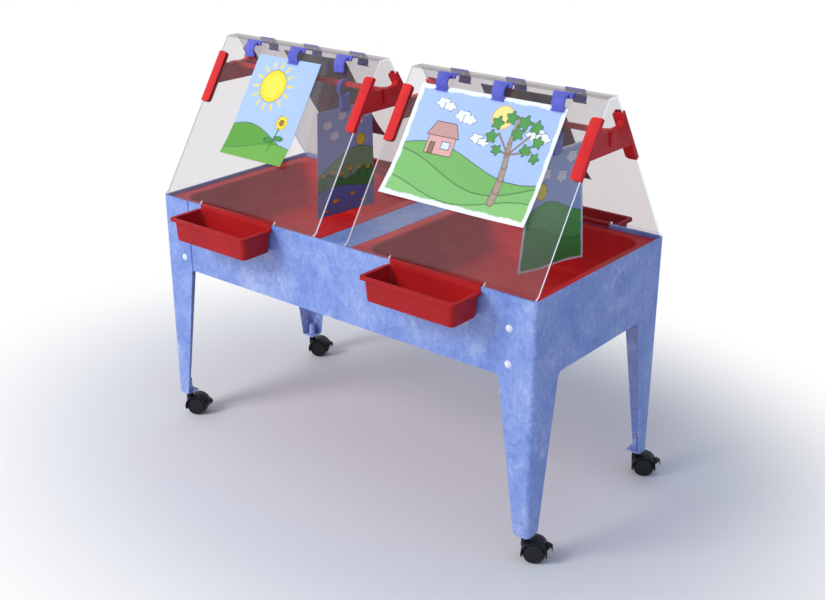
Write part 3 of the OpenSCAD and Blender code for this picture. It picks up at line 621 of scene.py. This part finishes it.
# %% Sun and flower
def sunny_day(p):
    p.wash(PALE_SKY)
    cx, cy, r = p.w * 0.4, p.h * 0.72, p.w * 0.2
    rays = 14
    for k in range(rays):
        a = k * 2 * math.pi / rays + 0.1
        p.stroke((cx + r * 1.16 * math.cos(a), cy + r * 1.16 * math.sin(a)),
                 (cx + r * 1.5 * math.cos(a), cy + r * 1.5 * math.sin(a)), r * 0.13, SUN)
    p.disc(cx, cy, r, color=SUN)
    p.disc(cx, cy, r * 0.72, color=(0.97, 0.78, 0.08), ink=None)
    p.below(lambda x: p.h * (0.24 + 0.1 * np.cos((x / p.w - 0.25) * 3.6)), color=GRASS)
    p.below(lambda x: p.h * (0.13 - 0.06 * np.cos((x / p.w) * 4)), color=(0.17, 0.42, 0.07))
    fx, fy = p.w * 0.74, p.h * 0.4
    p.stroke((fx, fy), (fx - p.w * 0.05, p.h * 0.12), p.w * 0.022, LEAF)
    p.disc(fx - p.w * 0.1, p.h * 0.22, p.w * 0.07, p.w * 0.03, color=LEAF)
    p.disc(fx + p.w * 0.04, p.h * 0.25, p.w * 0.07, p.w * 0.03, color=LEAF)
    p.blob(fx, fy, p.w * 0.085, 9, 0.18, color=SUN)
    p.disc(fx, fy, p.w * 0.035, color=(0.35, 0.2, 0.03))


print("first painting ready")

# %% [markdown]
# The large painting: a house on a hill, a sun behind clouds and a tree with leaf clusters. The
# tree's trunk is two lines of strokes that grow thinner, a dark one under a lighter one.

# %% House
def house(p, x, y, w, h):
    front, roof, door, window = (
        (0.78, 0.42, 0.38), (0.6, 0.33, 0.3), (0.3, 0.18, 0.14), (0.7, 0.8, 0.95))

    def panel(left, right, foot, top, color):
        """A part of the front; its limits are shares of the front's width and height."""
        p.shape([(x + w * left, y + h * foot), (x + w * right, y + h * foot),
                 (x + w * right, y + h * top), (x + w * left, y + h * top)], color=color)

    panel(0, 1, 0, 1, front)
    p.shape([(x - w * 0.1, y + h), (x + w * 1.08, y + h), (x + w * 0.85, y + h * 1.75),
             (x + w * 0.12, y + h * 1.75)], color=roof)
    panel(0.12, 0.3, 0, 0.62, door)
    panel(0.55, 0.85, 0.35, 0.75, window)


print("house ready")

# %% Tree
def tree(p, x, y):
    parts = 7
    for k in range(parts):
        t = k / (parts - 1)
        foot = (x + p.w * 0.012 * math.sin(t * 5), y + p.h * 0.1 * k)
        top = (x + p.w * 0.012 * math.sin(t * 5 + 0.8), y + p.h * 0.1 * (k + 1))
        p.stroke(foot, top, p.w * (0.052 - 0.032 * t), (0.2, 0.13, 0.08))
        p.stroke(foot, top, p.w * (0.042 - 0.03 * t), (0.42, 0.33, 0.24))
    for dx, dy in ((-0.1, 0.7), (0.1, 0.72), (0.14, 0.6), (-0.12, 0.58)):
        p.stroke((x, y + p.h * 0.4), (x + p.w * dx, p.h * dy), p.w * 0.012, BARK)
    for dx, dy, size in ((-0.13, 0.78, 1), (-0.05, 0.84, 1), (0.04, 0.82, 1.1), (0.12, 0.8, 1),
                         (0.16, 0.68, 0.9), (0.1, 0.6, 0.9), (-0.14, 0.66, 1),
                         (-0.08, 0.56, 0.8), (0.02, 0.72, 1), (0.17, 0.55, 0.8)):
        p.blob(x + p.w * dx, p.h * dy, p.w * 0.034 * size, 5, 0.24, 1, dx * 30,
               color=(0.1, 0.34, 0.08))


print("tree ready")

# %% The large painting
def house_and_tree(p):
    p.wash(PALE_SKY)
    p.disc(p.w * 0.62, p.h * 0.83, p.h * 0.1, color=(0.95, 0.8, 0.28), ink=(0.8, 0.35, 0.05))
    for cx, cy, s in ((0.2, 0.86, 1.0), (0.36, 0.78, 1.1), (0.5, 0.62, 0.9), (0.86, 0.74, 1.2)):
        p.blob(p.w * cx, p.h * cy, p.h * 0.07 * s, 5, 0.14, 0.62, 0.4, color=CLOUD)
        p.blob(p.w * (cx + 0.05), p.h * (cy - 0.02), p.h * 0.06 * s, 5, 0.14, 0.6, color=CLOUD)
    p.below(lambda x: p.h * (0.42 + 0.1 * np.sin((x / p.w) * 5.2 + 0.4)), color=(0.2, 0.48, 0.13))
    p.below(lambda x: p.h * (0.30 + 0.12 * np.cos((x / p.w) * 5.0)), color=(0.23, 0.53, 0.16))
    p.below(lambda x: p.h * (0.12 + 0.07 * np.sin((x / p.w) * 6.0 + 2)), color=(0.28, 0.58, 0.19))
    house(p, p.w * 0.18, p.h * 0.42, p.w * 0.19, p.h * 0.16)
    tree(p, p.w * 0.73, p.h * 0.14)
    p.border(0.012, 0.0012)


print("large painting ready")

# %% [markdown]
# The hanging painting: clouds, a hill, a row of flowers and a pond with leaves afloat.

# %% Pond
def pond(p):
    p.wash((0.36, 0.48, 0.74))
    for cx, cy in ((0.18, 0.86), (0.45, 0.92), (0.3, 0.75), (0.75, 0.84), (0.9, 0.9)):
        p.blob(p.w * cx, p.h * cy, p.h * 0.06, 5, 0.15, 0.7, cx * 9, color=CLOUD)
    p.disc(p.w * 0.78, p.h * 0.66, p.w * 0.085, color=SUN)
    p.below(lambda x: p.h * (0.44 + 0.16 * np.sin((x / p.w) * 2.6 - 0.3)), color=(0.26, 0.46, 0.2))
    p.below(lambda x: p.h * (0.36 + 0.04 * np.sin((x / p.w) * 9)), color=LEAF)
    for k in range(6):
        fx = p.w * (0.1 + 0.16 * k)
        fy = p.h * (0.4 + 0.015 * math.sin(k * 2.3))
        p.stroke((fx, fy), (fx, p.h * 0.3), p.w * 0.014, (0.03, 0.12, 0.03))
        p.disc(fx, fy, p.w * 0.034, color=SUN)
        p.disc(fx, fy, p.w * 0.014, color=(0.4, 0.2, 0.03), ink=None)
    p.below(lambda x: p.h * (0.24 + 0.03 * np.sin((x / p.w) * 5)), color=(0.13, 0.22, 0.55))
    floating = (0.85, 0.5, 0.08)
    for cx, cy, r in ((0.3, 0.13, 0.06), (0.62, 0.16, 0.05), (0.8, 0.07, 0.045),
                      (0.14, 0.05, 0.04)):
        p.disc(p.w * cx, p.h * cy, p.w * r, p.w * r * 0.5, color=floating)
        p.disc(p.w * (cx + r * 0.8), p.h * cy, p.w * r * 0.4, color=floating)


print("pond painting ready")

# %% [markdown]
# The other hanging sheet shows only through two layers of clear plastic, so a few large shapes
# are enough: two hills, a sun and clouds.

# %% Meadow
def meadow(p):
    p.wash((0.4, 0.5, 0.76))
    for cx, cy in ((0.3, 0.82), (0.62, 0.76), (0.8, 0.9)):
        p.blob(p.w * cx, p.h * cy, p.h * 0.07, 5, 0.15, 0.7, cx * 7, color=CLOUD)
    p.disc(p.w * 0.24, p.h * 0.68, p.w * 0.1, color=SUN)
    p.below(lambda x: p.h * (0.5 + 0.08 * np.sin((x / p.w) * 4.5)), color=(0.1, 0.42, 0.08))
    p.below(lambda x: p.h * (0.3 + 0.1 * np.cos((x / p.w) * 3.5)), color=(0.06, 0.36, 0.05))
    p.border(0.006, 0.0006)


print("pictures ready")

# %% [markdown]
# ## The paper
# Paper is stiff across a curl and hangs in cylinders, never in bags. Each sheet is a fine grid,
# flat where a clip or panel holds it, with one corner or edge curling away. It is painted while
# it is flat, then curled, given its thickness and moved to its place.

# %% Paper finish
paper = Finish("painted_paper", (0.85, 0.85, 0.83), 0.75, Sheen_Weight=0.1)
ink = paper.add("ShaderNodeVertexColor")
ink.layer_name = "picture"
fibre = paper.add("ShaderNodeMix", data_type="RGBA", blend_type="MULTIPLY")
fibre.inputs["Factor"].default_value = 0.35
paper.link(ink.outputs["Color"], fibre.inputs["A"])
paper.link(paper.ramp(paper.noise(160.0, 5.0, 0.7), [
    (0.3, (0.8, 0.8, 0.8)), (0.7, (1.0, 1.0, 1.0))]), fibre.inputs["B"])
paper.color(fibre.outputs["Result"])
paper.bump(paper.noise(700.0, 4.0, 0.7), 0.1, 0.0002)
print("paper finish ready")

# %% [markdown]
# The picture is as sharp as its grid. Points a millimetre apart would be too heavy, and three
# millimetres apart they would blur the outlines. The back of a sheet carries no picture: it gets
# the paper's own white times a factor. For the sheets at the rear that factor is painted shade,
# which turns their backs dark grey where they lie in the easel's shade.

# %% A painted sheet
STEP = 0.0016                           # between two points of the grid
STOCK = 0.0004                          # the paper's thickness
PAPER_BACK = (1.0, 0.98, 0.95)


def sheet_of_paper(name, body, node, w, h, picture, place, curl, back):
    """place is (corner, right, up, facing); curl gives how far each point (0..1) stands out."""
    clear()
    cols, rows = int(w / STEP), int(h / STEP)
    bpy.ops.mesh.primitive_grid_add(x_subdivisions=cols, y_subdivisions=rows, size=1)
    obj = bpy.context.object
    obj.scale = (w, h, 1)
    obj.location = (w / 2, h / 2, 0)
    bpy.ops.object.transform_apply(location=True, rotation=True, scale=True)
    me = obj.data
    co = np.empty(len(me.vertices) * 3)
    me.vertices.foreach_get("co", co)
    co = co.reshape(-1, 3)
    p = Picture(co[:, 0], co[:, 1], w, h)
    picture(p)
    attr = me.color_attributes.new("picture", "FLOAT_COLOR", "POINT")
    attr.data.foreach_set("color", np.hstack([p.rgb, np.ones((len(co), 1))]).ravel())
    out = curl(co[:, 0] / w, co[:, 1] / h)
    origin, right, up, facing = (np.array(v, float) for v in place)
    placed = (origin + co[:, :1] * right + co[:, 1:2] * up + out[:, None] * facing)
    me.vertices.foreach_set("co", placed.ravel())
    me.update()
    front = len(me.vertices)
    shell = obj.modifiers.new("stock", "SOLIDIFY")
    shell.thickness = STOCK
    shell.offset = 0
    only(obj)
    bpy.ops.object.modifier_apply(modifier="stock")
    tint = np.empty(len(obj.data.vertices) * 4)
    attr = obj.data.color_attributes["picture"]
    attr.data.foreach_get("color", tint)
    tint = tint.reshape(-1, 4)
    # the back's tone; for the rear sheets it is painted shade
    tint[front:, :3] = np.array(PAPER_BACK) * back
    attr.data.foreach_set("color", tint.ravel())
    bpy.ops.object.shade_smooth()
    settle(obj, name, body, paper.mat)
    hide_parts(node)
    print(name, "faces", len(obj.data.polygons))
    return obj


print("sheet helper ready")

# %% [markdown]
# ## Where the paper goes
# The model holds each sheet as a thin flat solid. The lowest and highest of its corners give
# the sheet's foot and head, and so the way it leans, without any angle written down twice.

# %% Read the flat sheets
def flat_sheet(node, side=0):
    """Corner, right, up, facing, width and height of a flat sheet; side -1 front, 1 rear."""
    co = np.array([v.co for v in nodes[node].data.vertices], float)
    if side:
        co = co[co[:, 1] * side > 0]
    order = np.argsort(co[:, 2])
    half = len(co) // 2
    low, high = co[order[:half]], co[order[half:]]
    up = high.mean(0) - low.mean(0)
    up[0] = 0
    height = float(np.linalg.norm(up))
    up /= height
    right = np.array((-float(side), 0, 0) if side else (0, 1.0, 0))
    width = float(np.ptp(co[:, 0 if side else 1]))
    corner = low.mean(0) - right * width / 2
    return (corner, right, up, np.cross(right, up)), width, height


print("left front sheet", [round(v, 3) for v in flat_sheet("left_easel_papers", -1)[1:]])

# %% [markdown]
# A clipped sheet lies on its panel and lifts at the foot or at a corner. A hanging one is flat
# under its clip and turns away towards its two upright edges, more so lower down. Each of these
# is a bend in one direction, as paper can do.

# %% Curls
ON_PANEL = 0.0004                       # air between a panel and the sheet that lies on it


def lifted_foot(x, y):
    return 0.010 * np.clip(0.35 - y, 0, 1) ** 2 / 0.12 + ON_PANEL


def lifted_corner(x, y):
    return (0.016 * np.clip(0.5 - y - x * 0.5, 0, 1) ** 2 / 0.25
            + 0.006 * np.clip(x + 0.5 - y - 1.1, 0, 1) ** 2 / 0.1 + ON_PANEL)


def turned(x):
    """-1 at the front edge, 1 at the rear edge, and flat where the clip holds."""
    return np.sign(x - 0.5) * np.abs(2 * x - 1) ** 1.6


def rolled(x, y):
    return (0.005 + 0.008 * (1 - y)) * turned(x) - 0.003 * (1 - y) ** 2


def rolled_more(x, y):
    return (0.006 + 0.020 * (1 - y) ** 1.2) * turned(x) - 0.004 * (1 - y) ** 2


print("curls ready")

# %% [markdown]
# The sheets at the rear show only their backs, so they are left plain.

# %% Paint and hang the sheets
def plain(p):
    p.wash((0.8, 0.8, 0.78))


# the rear sheets' backs are darkened with painted shade; the paper itself is the same white
bright_back, painted_shade_back, hanging_back = 0.8, 0.22, 0.6
plan = [
    ("left_front_painting", "left_easel", "left_easel_papers", -1, sunny_day, lifted_foot,
     bright_back),
    ("left_rear_painting", "left_easel", "left_easel_papers", 1, plain, lifted_foot,
     painted_shade_back),
    ("right_front_painting", "right_easel", "right_easel_papers", -1, house_and_tree,
     lifted_corner, bright_back),
    ("right_rear_painting", "right_easel", "right_easel_papers", 1, plain, lifted_foot,
     painted_shade_back),
    ("left_hanging_painting", "left_hanging_sheet", "left_hanging_paper", 0, pond, rolled,
     hanging_back),
    ("right_hanging_painting", "right_hanging_sheet", "right_hanging_paper", 0, meadow,
     rolled_more, hanging_back)]
for name, body, node, side, picture, curl, back in plan:
    place, w, h = flat_sheet(node, side)
    sheet = sheet_of_paper(name, body, node, w, h, picture, place, curl, back)

# %% [markdown]
# ## Floor
# The table stands on a light grey floor that fades to white a metre or so away, so that the
# shadow stays and no horizon shows. The fade is an emission that only the eye sees: for every
# other ray the floor stays grey, and throws no extra light on the table.

# %% Floor
fade_starts, fade_ends = 0.55, 1.25     # from the middle of the table, in metres
clear()
bpy.ops.mesh.primitive_plane_add(size=60, location=(0, 0, 0))
floor = bpy.context.object
floor.name = "floor"
ground = Finish("floor_pale", (0.76, 0.74, 0.745), 0.7)
middle = ground.add("ShaderNodeMapping")
middle.inputs["Scale"].default_value = (0.8, 1.0, 0.0)
ground.link(ground.coords.outputs["Object"], middle.inputs["Vector"])
reach = ground.add("ShaderNodeVectorMath", operation="LENGTH")
ground.link(middle.outputs["Vector"], reach.inputs[0])
fade = ground.add("ShaderNodeMapRange", interpolation_type="SMOOTHSTEP")
fade.inputs["From Min"].default_value = fade_starts
fade.inputs["From Max"].default_value = fade_ends
ground.link(reach.outputs["Value"], fade.inputs["Value"])
glow = ground.add("ShaderNodeEmission")
eye = ground.add("ShaderNodeLightPath")
only_eye = ground.add("ShaderNodeMath", operation="MULTIPLY")
ground.link(fade.outputs["Result"], only_eye.inputs[0])
ground.link(eye.outputs["Is Camera Ray"], only_eye.inputs[1])
paper_white = ground.add("ShaderNodeMixShader")
ground.link(only_eye.outputs[0], paper_white.inputs["Fac"])
ground.link(ground.shader.outputs[0], paper_white.inputs[1])
ground.link(glow.outputs[0], paper_white.inputs[2])
ground.link(paper_white.outputs[0], ground.out.inputs["Surface"])
floor.data.materials.append(ground.mat)
print("floor fades from", fade_starts, "to", fade_ends, "m")

# %% [markdown]
# ## Surround
# A white surround lights the table from all sides. Its light is stronger from the front left
# and bluer from the right, so that the end of the table falls into a cool shade. The eye sees
# it as plain white.

# %% Surround
world = bpy.data.worlds.new("surround")
bpy.context.scene.world = world
world.use_nodes = True
sky = world.node_tree


def sky_node(kind, operation=None):
    made = sky.nodes.new("ShaderNode" + kind)
    if operation:
        made.operation = operation
    return made


toward_light = (-0.24, -0.2, 0.0)       # its length is how much the strength varies
mean_strength = 0.62
way = sky_node("TexCoord")
slope = sky_node("VectorMath", "DOT_PRODUCT")
slope.inputs[1].default_value = toward_light
sky.links.new(way.outputs["Generated"], slope.inputs[0])
strength = sky_node("Math", "ADD")
strength.inputs[1].default_value = mean_strength
sky.links.new(slope.outputs["Value"], strength.inputs[0])
light = sky.nodes["Background"]
sky.links.new(strength.outputs[0], light.inputs["Strength"])
print("surround strength about", mean_strength)

# %% Its colour from left to right
across = sky_node("Mapping")            # 0 at the far left, 1 at the far right
across.inputs["Location"].default_value = (0.5, 0, 0)
across.inputs["Scale"].default_value = (0.5, 0, 0)
sky.links.new(way.outputs["Generated"], across.inputs["Vector"])
place_across = sky_node("SeparateXYZ")
sky.links.new(across.outputs["Vector"], place_across.inputs[0])
tint = sky_node("ValToRGB")
white, cool = tint.color_ramp.elements
white.position, white.color = 0.25, (1, 1, 1, 1)
cool.position, cool.color = 0.85, (0.62, 0.9, 1.4, 1)
sky.links.new(place_across.outputs["X"], tint.inputs["Fac"])
sky.links.new(tint.outputs["Color"], light.inputs["Color"])
print("surround colours", [round(v, 2) for v in white.color], [round(v, 2) for v in cool.color])

# %% Plain white for the eye
seen = sky_node("Background")
seen.inputs["Color"].default_value = (1, 1, 1, 1)
path = sky_node("LightPath")
choose = sky_node("MixShader")
sky.links.new(path.outputs["Is Camera Ray"], choose.inputs["Fac"])
sky.links.new(light.outputs[0], choose.inputs[1])
sky.links.new(seen.outputs[0], choose.inputs[2])
sky.links.new(choose.outputs[0], sky.nodes["World Output"].inputs["Surface"])
print("surround ready")

# %% [markdown]
# ## Lamps and camera
# A broad lamp from the front left above casts the soft shadows, and a faint one fills the right
# end. Both are left out of reflections, as a lamp behind cloth is. The camera stands at the
# front right and looks down on the table from well above the easels.

# %% Lamps and camera
def lamp(name, place, target, size, power):
    data = bpy.data.lights.new(name, "AREA")
    data.shape = "DISK"
    data.size = size
    data.energy = power
    obj = bpy.data.objects.new(name, data)
    bpy.context.scene.collection.objects.link(obj)
    obj.location = place
    obj.rotation_euler = (Vector(target) - Vector(place)).to_track_quat("-Z", "Y").to_euler()
    obj.visible_glossy = False


lamp("key", place=(-1.6, -3.6, 3.0), target=(0, 0, 0.5), size=2.0, power=118)
lamp("fill", place=(3.2, 0.4, 2.4), target=(0, 0, 0.6), size=2.4, power=2)

# %% Camera
eye_place = (1.83662, -2.19801, 1.58747)
tilt, heading = math.radians(67.57), math.radians(39.325)
lens = bpy.data.cameras.new("camera")
lens.sensor_width = 36
lens.lens = 53.02
view = bpy.data.objects.new("camera", lens)
bpy.context.scene.collection.objects.link(view)
view.location = eye_place
view.rotation_euler = (tilt, 0, heading)
bpy.context.scene.camera = view
bpy.context.scene.view_settings.view_transform = "Standard"
print("camera at", eye_place, "with a", lens.lens, "mm lens")
